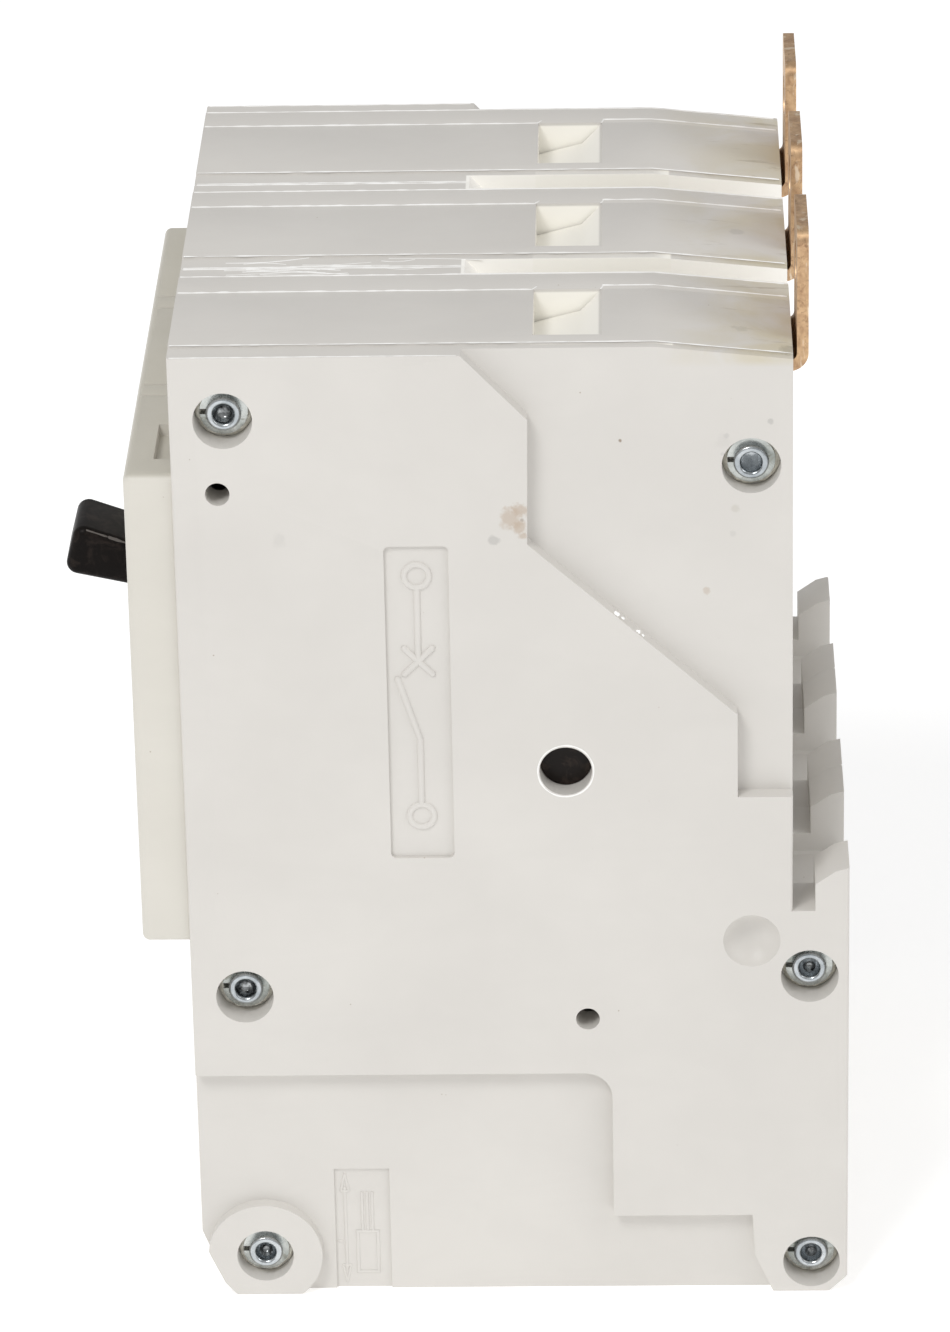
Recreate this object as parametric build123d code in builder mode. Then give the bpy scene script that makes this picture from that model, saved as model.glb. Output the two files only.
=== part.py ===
"""Three-pole bolt-on molded case breaker, in millimetres.

+Z is up towards the line end with its bolt-on tabs, the toggle faces -Y, and +X is the
breaker's right-hand pole seen from the front. The origin is the centre of the bottom of the
bounding box. The breaker is shown switched on.

Side profiles are drawn on planes of constant x. Their first coordinate runs back from the
front of the case, and their second runs up from the top of the case, so it is negative.
"""

import os
from math import cos, radians, sin

from build123d import *

# Case
POLE_PITCH = 25.4
COVER_THICK = 17.8
BASE_THICK = POLE_PITCH - COVER_THICK
CASE_HEIGHT = 110.3
CASE_DEPTH = 64.1
FOOT_DEPTH = 70.1
HANDLE_REACH = 14.4
TAB_RISE = 10.4
CASE_FRONT = HANDLE_REACH - (FOOT_DEPTH + HANDLE_REACH) / 2
CASE_TOP = CASE_HEIGHT
HALF_WIDTH = 1.5 * POLE_PITCH
POLES = {"right": POLE_PITCH, "center": 0.0, "left": -POLE_PITCH}

# Walls and recesses of a pole
WALL = 2.4
SIDE_RECESS = 2.0
LOW_RECESS = 1.5
LABEL_DEPTH = 0.4
GAUGE_DEPTH = 0.3
COVER_WALL = 4.2
BASE_WALL = 3.6
EDGE_STRIP = 3.0
EDGE_STEP = 0.25
EAR_WIDTH = 6.7
EDGE_ROUND = 0.35
VENT_GAP = 0.3

# Tie rivets: distance back from the case front, height from the case top, recess floor depth
RIVETS = [
    (5.53, -7.19, 3.6),
    (59.81, -13.54, 4.6),
    (5.67, -73.67, 3.6),
    (65.92, -71.70, 3.6),
    (6.87, -105.39, 2.6),
    (66.20, -106.54, 3.6),
]
RIVET_R = 1.6
RIVET_RECESS_R = 3.08
RIVET_BOSS_R = 4.8
CORNER_BOSS_R = 6.2
WASHER_THICK = 0.9
RIM_RISE = 0.95
RIM_R = 1.85
MOUTH_R = 1.08
RIM_TOPS = [1.5 * POLE_PITCH - depth + WASHER_THICK + RIM_RISE for _, _, depth in RIVETS]
SMALL_HOLES = [(4.74, -15.35), (42.26, -76.63)]
SMALL_HOLE_R = 1.27
DIMPLE_CENTRE = 1.5
DIMPLE_BALL_R = 3.4

# Raised front cover
FRONT_RISE = 5.05
FRONT_TOP = -13.4
FRONT_BOTTOM = -67.3
FRONT_RIGHT = HALF_WIDTH - 0.5
FRONT_LEFT = -HALF_WIDTH + 3.2
FRONT_WALL = 1.8

# Switching mechanism, in side-profile coordinates
HANDLE_PIVOT = (12.5, -42.5)
SHAFT_AXIS = (40.26, -47.29)
TRIP_AXIS = (27.5, -57.5)
CRADLE_PIVOT = (26.0, -31.0)
CRADLE_JOINT = (22.0, -36.5)
KNEE = (30.4, -36.8)
DRIVE_JOINT = (38.5, -39.0)
SPRING_BAR = (4.5, -40.7)
BUTTON_X = 5.0
BUTTON_HEIGHT = -64.0
SHAFT_HOLE_R = 2.77
SHAFT_R = 2.70
TRIP_BAR_R = 2.2
PIN_R = 1.0
HANDLE_PIN_R = 1.5
RUNNING = 0.05

# Terminals
STRAP_THICK = 1.2
STRAP_WIDTH = 12.0
TAB_BACK = 65.8
TAB_HOLE_R = 2.65
TAB_HOLE_HEIGHT = 4.4
WIRE_AXIS = 26.2
WIRE_BORE_R = 5.0
SCREW_HEIGHT = -94.0
SCREW_R = 3.95


def side_plane(x):
    """Plane of a side profile at x: first axis back, second axis up, from the case's top front edge."""
    return Plane(origin=(x, CASE_FRONT, CASE_TOP), x_dir=(0, 1, 0), z_dir=(1, 0, 0))


def at(point, x=0.0):
    """Row position of a side-profile point at x."""
    return (x, CASE_FRONT + point[0], CASE_TOP + point[1])


def front_plane(point, x):
    """Plane that faces back from a side-profile point at x, with X as its first axis."""
    return Plane(origin=at(point, x), x_dir=(1, 0, 0), z_dir=(0, 1, 0))


def save(piece, label):
    """Label a finished sub-part and write it."""
    piece.part.label = label
    export_step(piece.part, f"parts/{label}.step")


def slab(points, low, high, mode=Mode.ADD):
    """Extrude a side profile from x = low to x = high."""
    with BuildSketch(side_plane(low)) as profile:
        Polygon(*points, align=None)
    extrude(profile.sketch, amount=high - low, mode=mode)


def rod(point, radius, low, high, mode=Mode.ADD):
    """Round bar or hole along X through a side-profile point."""
    with BuildSketch(side_plane(low)) as profile:
        with Locations(point):
            Circle(radius)
    extrude(profile.sketch, amount=high - low, mode=mode)


def brick(back, up, low, high, mode=Mode.ADD):
    """Box from ranges of side-profile coordinates and of x."""
    points = [(back[0], up[0]), (back[1], up[0]), (back[1], up[1]), (back[0], up[1])]
    slab(points, low, high, mode)


def strip(points, radius, thick, low, high):
    """Bent metal strip that follows a side-profile path."""
    with BuildSketch(side_plane(low)) as profile:
        with BuildLine():
            FilletPolyline(*points, radius=radius)
        trace(line_width=thick)
    extrude(profile.sketch, amount=high - low)


def bar_end_plate(start, end, half, low, high):
    """Flat link with round ends from one side-profile point to another."""
    rod(start, half, low, high)
    rod(end, half, low, high)
    back, up = end[0] - start[0], end[1] - start[1]
    length = (back**2 + up**2) ** 0.5
    side = (-up / length * half, back / length * half)
    corners = [
        (start[0] + side[0], start[1] + side[1]),
        (end[0] + side[0], end[1] + side[1]),
        (end[0] - side[0], end[1] - side[1]),
        (start[0] - side[0], start[1] - side[1]),
    ]
    slab(corners, low, high)


# Outline of a pole: flat top that falls away at the back, rail hook, foot, cut front corner
OUTLINE = [
    (0, 0),
    (50, 0),
    (CASE_DEPTH, -1.5),
    (CASE_DEPTH, -63.95),
    (66.5, -63.95),
    (66.5, -60.8),
    (68.65, -59.3),
    (FOOT_DEPTH, -58.9),
    (FOOT_DEPTH, -108.3),
    (68.0, -CASE_HEIGHT),
    (3.75, -CASE_HEIGHT),
    (2.4, -108.7),
    (0.9, -105.35),
    (0, -103.0),
]
TOP_STRIP = [
    (-0.5, -EDGE_STEP),
    (50, -EDGE_STEP),
    (CASE_DEPTH + 0.5, -1.55 - EDGE_STEP),
    (CASE_DEPTH + 0.5, 0.5),
    (-0.5, 0.5),
]
UPPER_RECESS = [
    (29.8, 1),
    (29.8, 0),
    (36.8, -7.4),
    (36.6, -21.3),
    (58.3, -40.9),
    (58.3, -50.5),
    (65, -50.5),
    (65, 1),
]
LOWER_RECESS = [
    (-1, -83.2),
    (44.8, -83.2),
    (44.8, -100.7),
    (59.8, -100.7),
    (60.1, -105.7),
    (62.4, -111),
    (-1, -111),
]
CAVITY = [
    (WALL, -2.6),
    (34, -2.6),
    (34, -5.8),
    (61.7, -5.8),
    (61.7, -78),
    (67.7, -78),
    (67.7, -99),
    (61.7, -99),
    (61.7, -108.1),
    (WALL, -108.1),
]


def hollow(low, high):
    """Cut the inside of a pole half, leaving bosses round the tie rivets."""
    with BuildSketch(side_plane(low)) as profile:
        Polygon(*CAVITY, align=None)
        for back, up, _ in RIVETS:
            with Locations((back, up)):
                Circle(RIVET_BOSS_R, mode=Mode.SUBTRACT)
    extrude(profile.sketch, amount=high - low, mode=Mode.SUBTRACT)


def shared_cuts(x, low, high):
    """Cut what both halves of a pole share: rivet holes, shaft hole, strap slot, rail notch."""
    for back, up, _ in RIVETS:
        rod((back, up), RIVET_R + 0.1, low - 1, high + 1, Mode.SUBTRACT)
    rod(SHAFT_AXIS, SHAFT_HOLE_R, low - 1, high + 1, Mode.SUBTRACT)
    strap_low = max(low - 1, x - STRAP_WIDTH / 2 - RUNNING)
    strap_high = min(high + 1, x + STRAP_WIDTH / 2 + RUNNING)
    brick((50.3, 66), (-5.05, -3.75), strap_low, strap_high, Mode.SUBTRACT)
    brick((50.3, 53), (-6.5, -3.75), strap_low, strap_high, Mode.SUBTRACT)
    brick((63, 66), (-5.05, -2.8), strap_low, strap_high, Mode.SUBTRACT)
    notch_low = max(low - 1, x - POLE_PITCH / 2 + EAR_WIDTH)
    notch_high = min(high + 1, x + POLE_PITCH / 2 - EAR_WIDTH)
    brick((CASE_DEPTH, 71), (-66, -58), notch_low, notch_high, Mode.SUBTRACT)


def toggle_window(low, high):
    """Cut the toggle's window in the front wall of the middle pole."""
    brick((-1, WALL + 1), (-54.9, -30.1), max(low - 1, -7.4), min(high + 1, 7.4), Mode.SUBTRACT)


def wire_entry(x):
    """Cut the wire's way in through the bottom of a pole."""
    with BuildSketch(Plane.XY.offset(-1)) as entry:
        with Locations((x, CASE_FRONT + WIRE_AXIS)):
            Circle(WIRE_BORE_R + 0.5)
    extrude(entry.sketch, amount=WALL + 2, mode=Mode.SUBTRACT)


def front_hole(x, up, radius, depth):
    """Cut a round hole back from the front of the case."""
    with BuildSketch(front_plane((-1, up), x)) as opening:
        Circle(radius)
    extrude(opening.sketch, amount=depth + 1, mode=Mode.SUBTRACT)


def make_cover(side, x):
    """Thick right-hand half of a pole."""
    face = x + POLE_PITCH / 2
    split = face - COVER_THICK
    with BuildPart() as cover:
        slab(OUTLINE, split, face)
        outer_edges = cover.faces().sort_by(Axis.X)[-1].edges()
        fillet(outer_edges.filter_by(lambda edge: edge.length > 5), EDGE_ROUND)
        with BuildSketch(side_plane(face - SIDE_RECESS)):
            Polygon(*UPPER_RECESS, align=None)
        extrude(amount=SIDE_RECESS + 1, mode=Mode.SUBTRACT)
        with BuildSketch(side_plane(face - LOW_RECESS)) as low_floor:
            Polygon(*LOWER_RECESS, align=None)
            inner_corner = low_floor.vertices().sort_by_distance(at((44.8, -100.7), face - LOW_RECESS))[0]
            fillet(inner_corner, 3)
            with Locations(RIVETS[4][:2]):
                Circle(CORNER_BOSS_R, mode=Mode.SUBTRACT)
        extrude(amount=LOW_RECESS + 1, mode=Mode.SUBTRACT)
        slab(TOP_STRIP, face - EDGE_STRIP, face + 1, Mode.SUBTRACT)
        # Raised-edge label panel, and the strip-length panel by the wire entry
        with BuildSketch(side_plane(face - LABEL_DEPTH)):
            with Locations((25.05, -39.35)):
                RectangleRounded(6.7, 35.9, 0.6)
        extrude(amount=2, mode=Mode.SUBTRACT)
        gauge_floor = face - LOW_RECESS - GAUGE_DEPTH
        brick((14.5, 20.5), (-CASE_HEIGHT - 1, -95.5), gauge_floor, face + 1, Mode.SUBTRACT)
        # Scoop of the arc vent, open to the arc chamber through a thin gap along its far wall
        scoop = [(37.4, 1), (37.4, -3.56), (42.25, -2.3), (44.5, 0), (44.5, 1)]
        slab(scoop, split - 1, face - 5.0, Mode.SUBTRACT)
        brick((37.4, 43.9), (-7, 0), split - 1, split + VENT_GAP, Mode.SUBTRACT)
        hollow(split - 1, face - COVER_WALL)
        shared_cuts(x, split, face)
        for back, up, depth in RIVETS:
            rod((back, up), RIVET_RECESS_R, face - depth, face + 1, Mode.SUBTRACT)
        for gauge_hole in SMALL_HOLES:
            rod(gauge_hole, SMALL_HOLE_R, face - COVER_WALL - 1, face + 1, Mode.SUBTRACT)
        with Locations(at((59.77, -67.43), face + DIMPLE_CENTRE)):
            Sphere(DIMPLE_BALL_R, mode=Mode.SUBTRACT)
        wire_entry(x)
        front_hole(x, SCREW_HEIGHT, 4.5, WALL + 1)
        if side == "center":
            toggle_window(split, face)
            front_hole(BUTTON_X, BUTTON_HEIGHT, 1.5, WALL + 1)
            brick((10, 11.5), (-66.5, -61.5), 2.6, face - COVER_WALL + 0.5)
            with BuildSketch(front_plane((9, BUTTON_HEIGHT), BUTTON_X)):
                Circle(1.3)
            extrude(amount=4, mode=Mode.SUBTRACT)
        if side != "right":
            rod(TRIP_AXIS, TRIP_BAR_R + RUNNING, face - COVER_WALL - 1, face + 1, Mode.SUBTRACT)
    save(cover, f"{side}_cover")


def make_base(side, x):
    """Thin left-hand half of a pole."""
    face = x - POLE_PITCH / 2
    split = face + BASE_THICK
    with BuildPart() as base:
        slab(OUTLINE, face, split)
        outer_edges = base.faces().sort_by(Axis.X)[0].edges()
        fillet(outer_edges.filter_by(lambda edge: edge.length > 5), EDGE_ROUND)
        slab(UPPER_RECESS, face - 1, face + SIDE_RECESS, Mode.SUBTRACT)
        slab(TOP_STRIP, face - 1, face + EDGE_STRIP, Mode.SUBTRACT)
        hollow(face + BASE_WALL, split + 1)
        shared_cuts(x, face, split)
        for back, up, _ in RIVETS:
            rod((back, up), RIVET_RECESS_R, face - 1, face + 2.2, Mode.SUBTRACT)
        wire_entry(x)
        if side == "center":
            toggle_window(face, split)
        if side != "left":
            rod(TRIP_AXIS, TRIP_BAR_R + RUNNING, face - 1, face + BASE_WALL + 1, Mode.SUBTRACT)
    save(base, f"{side}_base")


def make_line_strap(side, x):
    """Bolt-on tab that bends through the back wall and carries the fixed contact."""
    path_back = TAB_BACK - STRAP_THICK / 2
    path = [(path_back, TAB_RISE), (path_back, -4.4), (51.0, -4.4), (51.0, -30)]
    low, high = x - STRAP_WIDTH / 2, x + STRAP_WIDTH / 2
    with BuildPart() as strap:
        strip(path, 1.4, STRAP_THICK, low, high)
        tab_corners = strap.edges().filter_by(Axis.Y).group_by(Axis.Z)[-1]
        fillet(tab_corners, 1.5)
        with BuildSketch(front_plane((60, TAB_HOLE_HEIGHT), x)):
            Circle(TAB_HOLE_R)
        extrude(amount=10, mode=Mode.SUBTRACT)
    save(strap, f"{side}_line_strap")


def make_arc_chute(side, x):
    """Notched steel plates between two fibre side boards."""
    with BuildPart() as chute:
        for board in (x - 7.5, x + 6.7):
            brick((28.5, 47), (-26, -6.8), board, board + 0.8)
        for step in range(6):
            back = 30.0 + 3.0 * step
            brick((back, back + 1), (-24, -7.2), x - 6.7, x + 6.7)
            brick((back - 0.5, back + 1.5), (-25, -17), x - 3, x + 3, Mode.SUBTRACT)
    save(chute, f"{side}_arc_chute")


def make_contact_arm(side, x):
    """Copper blade from the rotor hub up to the moving contact."""
    arm_outline = [
        (36.4, -45.0),
        (38.6, -37.0),
        (44.2, -24.0),
        (46.0, -22.4),
        (48.35, -22.6),
        (48.35, -28.4),
        (46.4, -31.0),
        (44.6, -45.0),
    ]
    with BuildPart() as arm:
        slab(arm_outline, x - 1.5, x + 1.5)
        rod(SHAFT_AXIS, 6.2, x - 1.5, x + 1.5)
        rod(SHAFT_AXIS, 4.0, x - 2, x + 2, Mode.SUBTRACT)
        if side == "center":
            rod(DRIVE_JOINT, 2.3, x - 1.5, x + 1.5)
            rod(DRIVE_JOINT, PIN_R, x - 2, x + 2, Mode.SUBTRACT)
    save(arm, f"{side}_contact_arm")


def make_trip_unit(side, x):
    """Bimetal, magnet yoke, armature, load strap and braid of one pole."""
    with BuildPart() as bimetal:
        brick((24.0, 24.8), (-84.8, -65.5), x - 4, x + 4)
        brick((24.8, 26.6), (-84.8, -83.6), x - 4, x + 4)
    save(bimetal, f"{side}_bimetal")

    with BuildPart() as load_strap:
        strip([(18, -85.4), (39.4, -85.4), (39.4, -72)], 1.6, STRAP_THICK, x - 5, x + 5)
    save(load_strap, f"{side}_load_strap")

    with BuildPart() as yoke:
        brick((29.8, 31.0), (-82, -72), x - 6.2, x + 6.2)
        for leg in (x - 6.2, x + 5.0):
            brick((23.6, 29.8), (-82, -72), leg, leg + 1.2)
            brick((28.4, 31.0), (-84.8, -82), leg, leg + 1.2)
    save(yoke, f"{side}_magnet_yoke")

    with BuildPart() as armature:
        brick((20.6, 21.8), (-82.5, -72), x - 5.5, x + 5.5)
        rod((21.2, -83.0), 0.9, x - 6.2, x + 6.2)
        for finger in (x - 5.5, x + 4.5):
            brick((20.6, 21.8), (-72, -66.5), finger, finger + 1.0)
            brick((21.8, 24.3), (-68, -66.5), finger, finger + 1.0)
    save(armature, f"{side}_armature")

    with BuildPart() as braid:
        strip([(39.4, -71.8), (39.4, -66.5), (43.4, -61.0), (43.4, -55.0)], 2.0, 2.4, x - 3, x + 3)
    save(braid, f"{side}_braid")


def make_load_lug(side, x):
    """Aluminium box lug with its wire bore and its screw."""
    with BuildPart() as lug:
        brick((16, 33), (-102, -86), x - 6.3, x + 6.3)
        chamfer(lug.edges().filter_by(Axis.Z), 0.6)
        with BuildSketch(Plane.XY):
            with Locations((x, CASE_FRONT + WIRE_AXIS)):
                Circle(WIRE_BORE_R)
        extrude(amount=CASE_TOP, mode=Mode.SUBTRACT)
        front_hole(x, SCREW_HEIGHT, SCREW_R + RUNNING, WIRE_AXIS)
    save(lug, f"{side}_load_lug")

    screw_plane = front_plane((8.6, SCREW_HEIGHT), x)
    with BuildPart() as screw:
        with BuildSketch(screw_plane):
            Circle(SCREW_R)
        extrude(amount=12.4)
        chamfer(screw.edges().filter_by(GeomType.CIRCLE), 0.5)
        with BuildSketch(screw_plane):
            RegularPolygon(2.4, 6)
        extrude(amount=5, mode=Mode.SUBTRACT)
    save(screw, f"{side}_wire_screw")


def spring_along(start, end, coil_radius, wire_radius, turns):
    """Add a coil spring between two row positions, with its wire's centre line on a helix."""
    axis = Vector(*end) - Vector(*start)
    with BuildLine() as coil:
        Helix(axis.length / turns, axis.length, coil_radius, center=start, direction=axis.normalized())
    with BuildSketch(Plane(origin=coil.line @ 0, z_dir=coil.line % 0)) as wire:
        Circle(wire_radius)
    sweep(wire.sketch, path=coil.line, is_frenet=True)


os.makedirs("parts", exist_ok=True)

for pole_side, pole_x in POLES.items():
    make_cover(pole_side, pole_x)
    make_base(pole_side, pole_x)
    make_line_strap(pole_side, pole_x)
    make_arc_chute(pole_side, pole_x)
    make_contact_arm(pole_side, pole_x)
    make_trip_unit(pole_side, pole_x)
    make_load_lug(pole_side, pole_x)

# Silvered contacts
with BuildPart() as fixed_contacts:
    for pole_x in POLES.values():
        brick((49.45, 50.4), (-28, -23), pole_x - 2, pole_x + 2)
save(fixed_contacts, "fixed_contacts")

with BuildPart() as moving_contacts:
    for pole_x in POLES.values():
        brick((48.35, 49.4), (-28, -23), pole_x - 2, pole_x + 2)
save(moving_contacts, "moving_contacts")

# Cross shaft that ties the three contact arms, seen in the big hole in the side
with BuildPart() as contact_shaft:
    rod(SHAFT_AXIS, SHAFT_R, -HALF_WIDTH + 1.2, HALF_WIDTH - 2.4)
save(contact_shaft, "contact_shaft")

with BuildPart() as contact_hubs:
    for pole_x in POLES.values():
        rod(SHAFT_AXIS, 4.0, pole_x - 5, pole_x + 5)
        for cheek in (pole_x - 5, pole_x + 1.5):
            rod(SHAFT_AXIS, 5.0, cheek, cheek + 3.5)
        rod(SHAFT_AXIS, SHAFT_R, pole_x - 6, pole_x + 6, Mode.SUBTRACT)
save(contact_hubs, "contact_hubs")

with BuildPart() as drive_pin:
    rod(DRIVE_JOINT, PIN_R, -4.1, 4.1)
save(drive_pin, "drive_pin")

# Toggle handle: paddle, curved shield behind the window, web and hub on the pivot pin
SHIELD_OUTER_R = 15.4
SHIELD_INNER_R = 14.2
SHIELD_TOP_ANGLE = 62.5
SHIELD_BOTTOM_ANGLE = -39.0
PADDLE_HALF = 4.5
PADDLE = [
    (-2.4, -37.1),
    (-13.24, -33.15),
    (-14.69, -38.85),
    (-2.4, -41.6),
]


def around_pivot(radius, angle):
    """Side-profile point in front of the handle pivot, at an angle above the horizontal."""
    return (
        HANDLE_PIVOT[0] - radius * cos(radians(angle)),
        HANDLE_PIVOT[1] + radius * sin(radians(angle)),
    )


with BuildPart() as paddle:
    slab(PADDLE, -PADDLE_HALF, PADDLE_HALF)
    tip_edges = paddle.edges().filter_by(Axis.X).filter_by(lambda edge: edge.center().Y < CASE_FRONT - 9)
    fillet(tip_edges, 1.3)
    side_faces = [paddle.faces().sort_by(Axis.X)[0], paddle.faces().sort_by(Axis.X)[-1]]
    side_edges = ShapeList(edge for face in side_faces for edge in face.edges())
    fillet(side_edges.filter_by(lambda edge: edge.center().Y < CASE_FRONT - 3), 0.9)

with BuildPart() as handle:
    with BuildSketch(side_plane(-7)):
        with BuildLine():
            middle_angle = (SHIELD_TOP_ANGLE + SHIELD_BOTTOM_ANGLE) / 2
            outer = ThreePointArc(
                around_pivot(SHIELD_OUTER_R, SHIELD_TOP_ANGLE),
                around_pivot(SHIELD_OUTER_R, middle_angle),
                around_pivot(SHIELD_OUTER_R, SHIELD_BOTTOM_ANGLE),
            )
            inner = ThreePointArc(
                around_pivot(SHIELD_INNER_R, SHIELD_TOP_ANGLE),
                around_pivot(SHIELD_INNER_R, middle_angle),
                around_pivot(SHIELD_INNER_R, SHIELD_BOTTOM_ANGLE),
            )
            Line(outer @ 0, inner @ 0)
            Line(outer @ 1, inner @ 1)
        make_face()
    extrude(amount=14)
    add(paddle.part)
    web = [around_pivot(14.8, 20), around_pivot(14.8, 4), (12.5, -44.0), (12.5, -40.0)]
    slab(web, -2.5, 2.5)
    rod(HANDLE_PIVOT, 3.0, -2.5, 2.5)
    rod(HANDLE_PIVOT, HANDLE_PIN_R + RUNNING, -3, 3, Mode.SUBTRACT)
save(handle, "handle")

with BuildPart() as handle_arm:
    for leg in (-3.7, 2.7):
        bar_end_plate(HANDLE_PIVOT, SPRING_BAR, 3.0, leg, leg + 1.0)
    rod(SPRING_BAR, 0.9, -6.3, -2.7)
    rod(SPRING_BAR, 0.9, 2.7, 6.3)
    rod(HANDLE_PIVOT, HANDLE_PIN_R + RUNNING, -5, 5, Mode.SUBTRACT)
save(handle_arm, "handle_arm")

with BuildPart() as handle_pin:
    rod(HANDLE_PIVOT, HANDLE_PIN_R, -8.2, 8.2)
save(handle_pin, "handle_pin")

# Mechanism frame: two side plates tied by two round spacers
FRAME = [(9, -33), (14, -27), (31, -27), (34, -33), (34, -44), (30, -53), (12, -53), (9, -48)]
with BuildPart() as mechanism_frame:
    for plate in (-7.8, 6.8):
        slab(FRAME, plate, plate + 1.0)
    rod((30.0, -28.5), PIN_R, -7.8, 7.8)
    rod((11.0, -51.2), PIN_R, -7.8, 7.8)
    rod(HANDLE_PIVOT, HANDLE_PIN_R, -9, 9, Mode.SUBTRACT)
    rod(CRADLE_PIVOT, PIN_R, -9, 9, Mode.SUBTRACT)
save(mechanism_frame, "mechanism_frame")

# Cradle, latched by the trip bar, and the toggle links that close the contacts
CRADLE = [
    (27.8, -29.2),
    (24.2, -28.8),
    (20.4, -34.5),
    (20.0, -45.0),
    (20.0, -58.2),
    (22.3, -58.2),
    (23.6, -45.0),
    (24.6, -37.0),
    (28.2, -32.4),
]
with BuildPart() as cradle:
    slab(CRADLE, -0.8, 0.8)
    rod(CRADLE_PIVOT, PIN_R + RUNNING, -2, 2, Mode.SUBTRACT)
    rod(CRADLE_JOINT, PIN_R, -2, 2, Mode.SUBTRACT)
save(cradle, "cradle")

with BuildPart() as cradle_pin:
    rod(CRADLE_PIVOT, PIN_R, -8.2, 8.2)
save(cradle_pin, "cradle_pin")

with BuildPart() as link_pin:
    rod(CRADLE_JOINT, PIN_R, -3.2, 3.2)
save(link_pin, "link_pin")

with BuildPart() as upper_links:
    for link in (-2.9, 1.9):
        bar_end_plate(CRADLE_JOINT, KNEE, 2.0, link, link + 1.0)
    rod(CRADLE_JOINT, PIN_R + RUNNING, -4, 4, Mode.SUBTRACT)
    rod(KNEE, PIN_R, -4, 4, Mode.SUBTRACT)
save(upper_links, "upper_links")

with BuildPart() as knee_pin:
    rod(KNEE, PIN_R, -6.3, 6.3)
save(knee_pin, "knee_pin")

with BuildPart() as lower_links:
    for link in (-4.0, 3.1):
        bar_end_plate(DRIVE_JOINT, KNEE, 2.0, link, link + 0.9)
    rod(KNEE, 2.3, -5, 5, Mode.SUBTRACT)
    rod(DRIVE_JOINT, PIN_R + RUNNING, -5, 5, Mode.SUBTRACT)
save(lower_links, "lower_links")

# Main springs, hooked on the handle arm and reaching towards the knee
SPRING_END = (26.6, -37.6)
with BuildPart() as main_springs:
    for spring_x in (-5.2, 5.2):
        spring_along(at((5.9, -40.5), spring_x), at(SPRING_END, spring_x), 0.85, 0.22, 18)
save(main_springs, "main_springs")

# Trip bar across the poles, with a lever for each bimetal and the hook that holds the cradle
HOOK = [(27.5, -60.4), (17.4, -60.4), (17.4, -57.6), (19.0, -57.6), (19.0, -58.9), (27.5, -58.9)]
with BuildPart() as trip_bar:
    rod(TRIP_AXIS, TRIP_BAR_R, -33.6, 33.2)
    for pole_x in POLES.values():
        brick((26.3, 28.7), (-68, -57.5), pole_x - 5.6, pole_x + 6.2)
    slab(HOOK, -1.5, 1.5)
save(trip_bar, "trip_bar")

# Push-to-trip button with its rod and return spring
button_plane = front_plane((0, BUTTON_HEIGHT), BUTTON_X)
with BuildPart() as trip_button:
    with BuildSketch(button_plane.offset(-5.5)):
        Circle(2.0)
    extrude(amount=3.6)
    chamfer(trip_button.edges().filter_by(GeomType.CIRCLE).group_by(Axis.Y)[0], 0.3)
    with BuildSketch(button_plane.offset(-1.9)):
        Circle(1.1)
    extrude(amount=27.9)
    with BuildSketch(button_plane.offset(3.4)):
        Circle(2.3)
    extrude(amount=0.8)
save(trip_button, "trip_button")

with BuildPart() as button_spring:
    spring_along(at((6.3, BUTTON_HEIGHT), BUTTON_X), at((9.7, BUTTON_HEIGHT), BUTTON_X), 1.75, 0.2, 5)
save(button_spring, "button_spring")

# Raised front cover over the three poles, with the toggle's window and the button's hole
with BuildPart() as front_cover:
    front_x = (FRONT_LEFT + FRONT_RIGHT) / 2
    front_z = CASE_TOP + (FRONT_TOP + FRONT_BOTTOM) / 2
    front_width = FRONT_RIGHT - FRONT_LEFT
    front_tall = FRONT_TOP - FRONT_BOTTOM
    with Locations((front_x, CASE_FRONT - FRONT_RISE / 2, front_z)):
        Box(front_width, FRONT_RISE, front_tall)
    front_edges = front_cover.faces().sort_by(Axis.Y)[0].edges()
    fillet(front_edges + front_cover.edges().filter_by(Axis.Y), 0.8)
    with Locations((front_x, CASE_FRONT - (FRONT_RISE - FRONT_WALL) / 2, front_z)):
        Box(
            front_width - 2 * FRONT_WALL,
            FRONT_RISE - FRONT_WALL,
            front_tall - 2 * FRONT_WALL,
            mode=Mode.SUBTRACT,
        )
    brick((-6, 0), (-52.8, -34.5), -5.9, 5.9, Mode.SUBTRACT)
    with BuildSketch(button_plane.offset(-7)):
        Circle(2.08)
    extrude(amount=8, mode=Mode.SUBTRACT)
    # Pry pocket in the top edge of the right pole
    brick((-2.1, 1), (FRONT_TOP - 1.3, FRONT_TOP + 1), 23.6, 33.1, Mode.SUBTRACT)
    # Fine joint lines over the top and front
    for line_x in (15.6, 12.5, -9.7, -13.1):
        brick((-6, 1), (FRONT_TOP - 0.15, FRONT_TOP + 1), line_x, line_x + 0.2, Mode.SUBTRACT)
        brick((-6, -FRONT_RISE + 0.15), (FRONT_BOTTOM - 1, FRONT_TOP + 1), line_x, line_x + 0.2, Mode.SUBTRACT)
save(front_cover, "front_cover")

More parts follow.
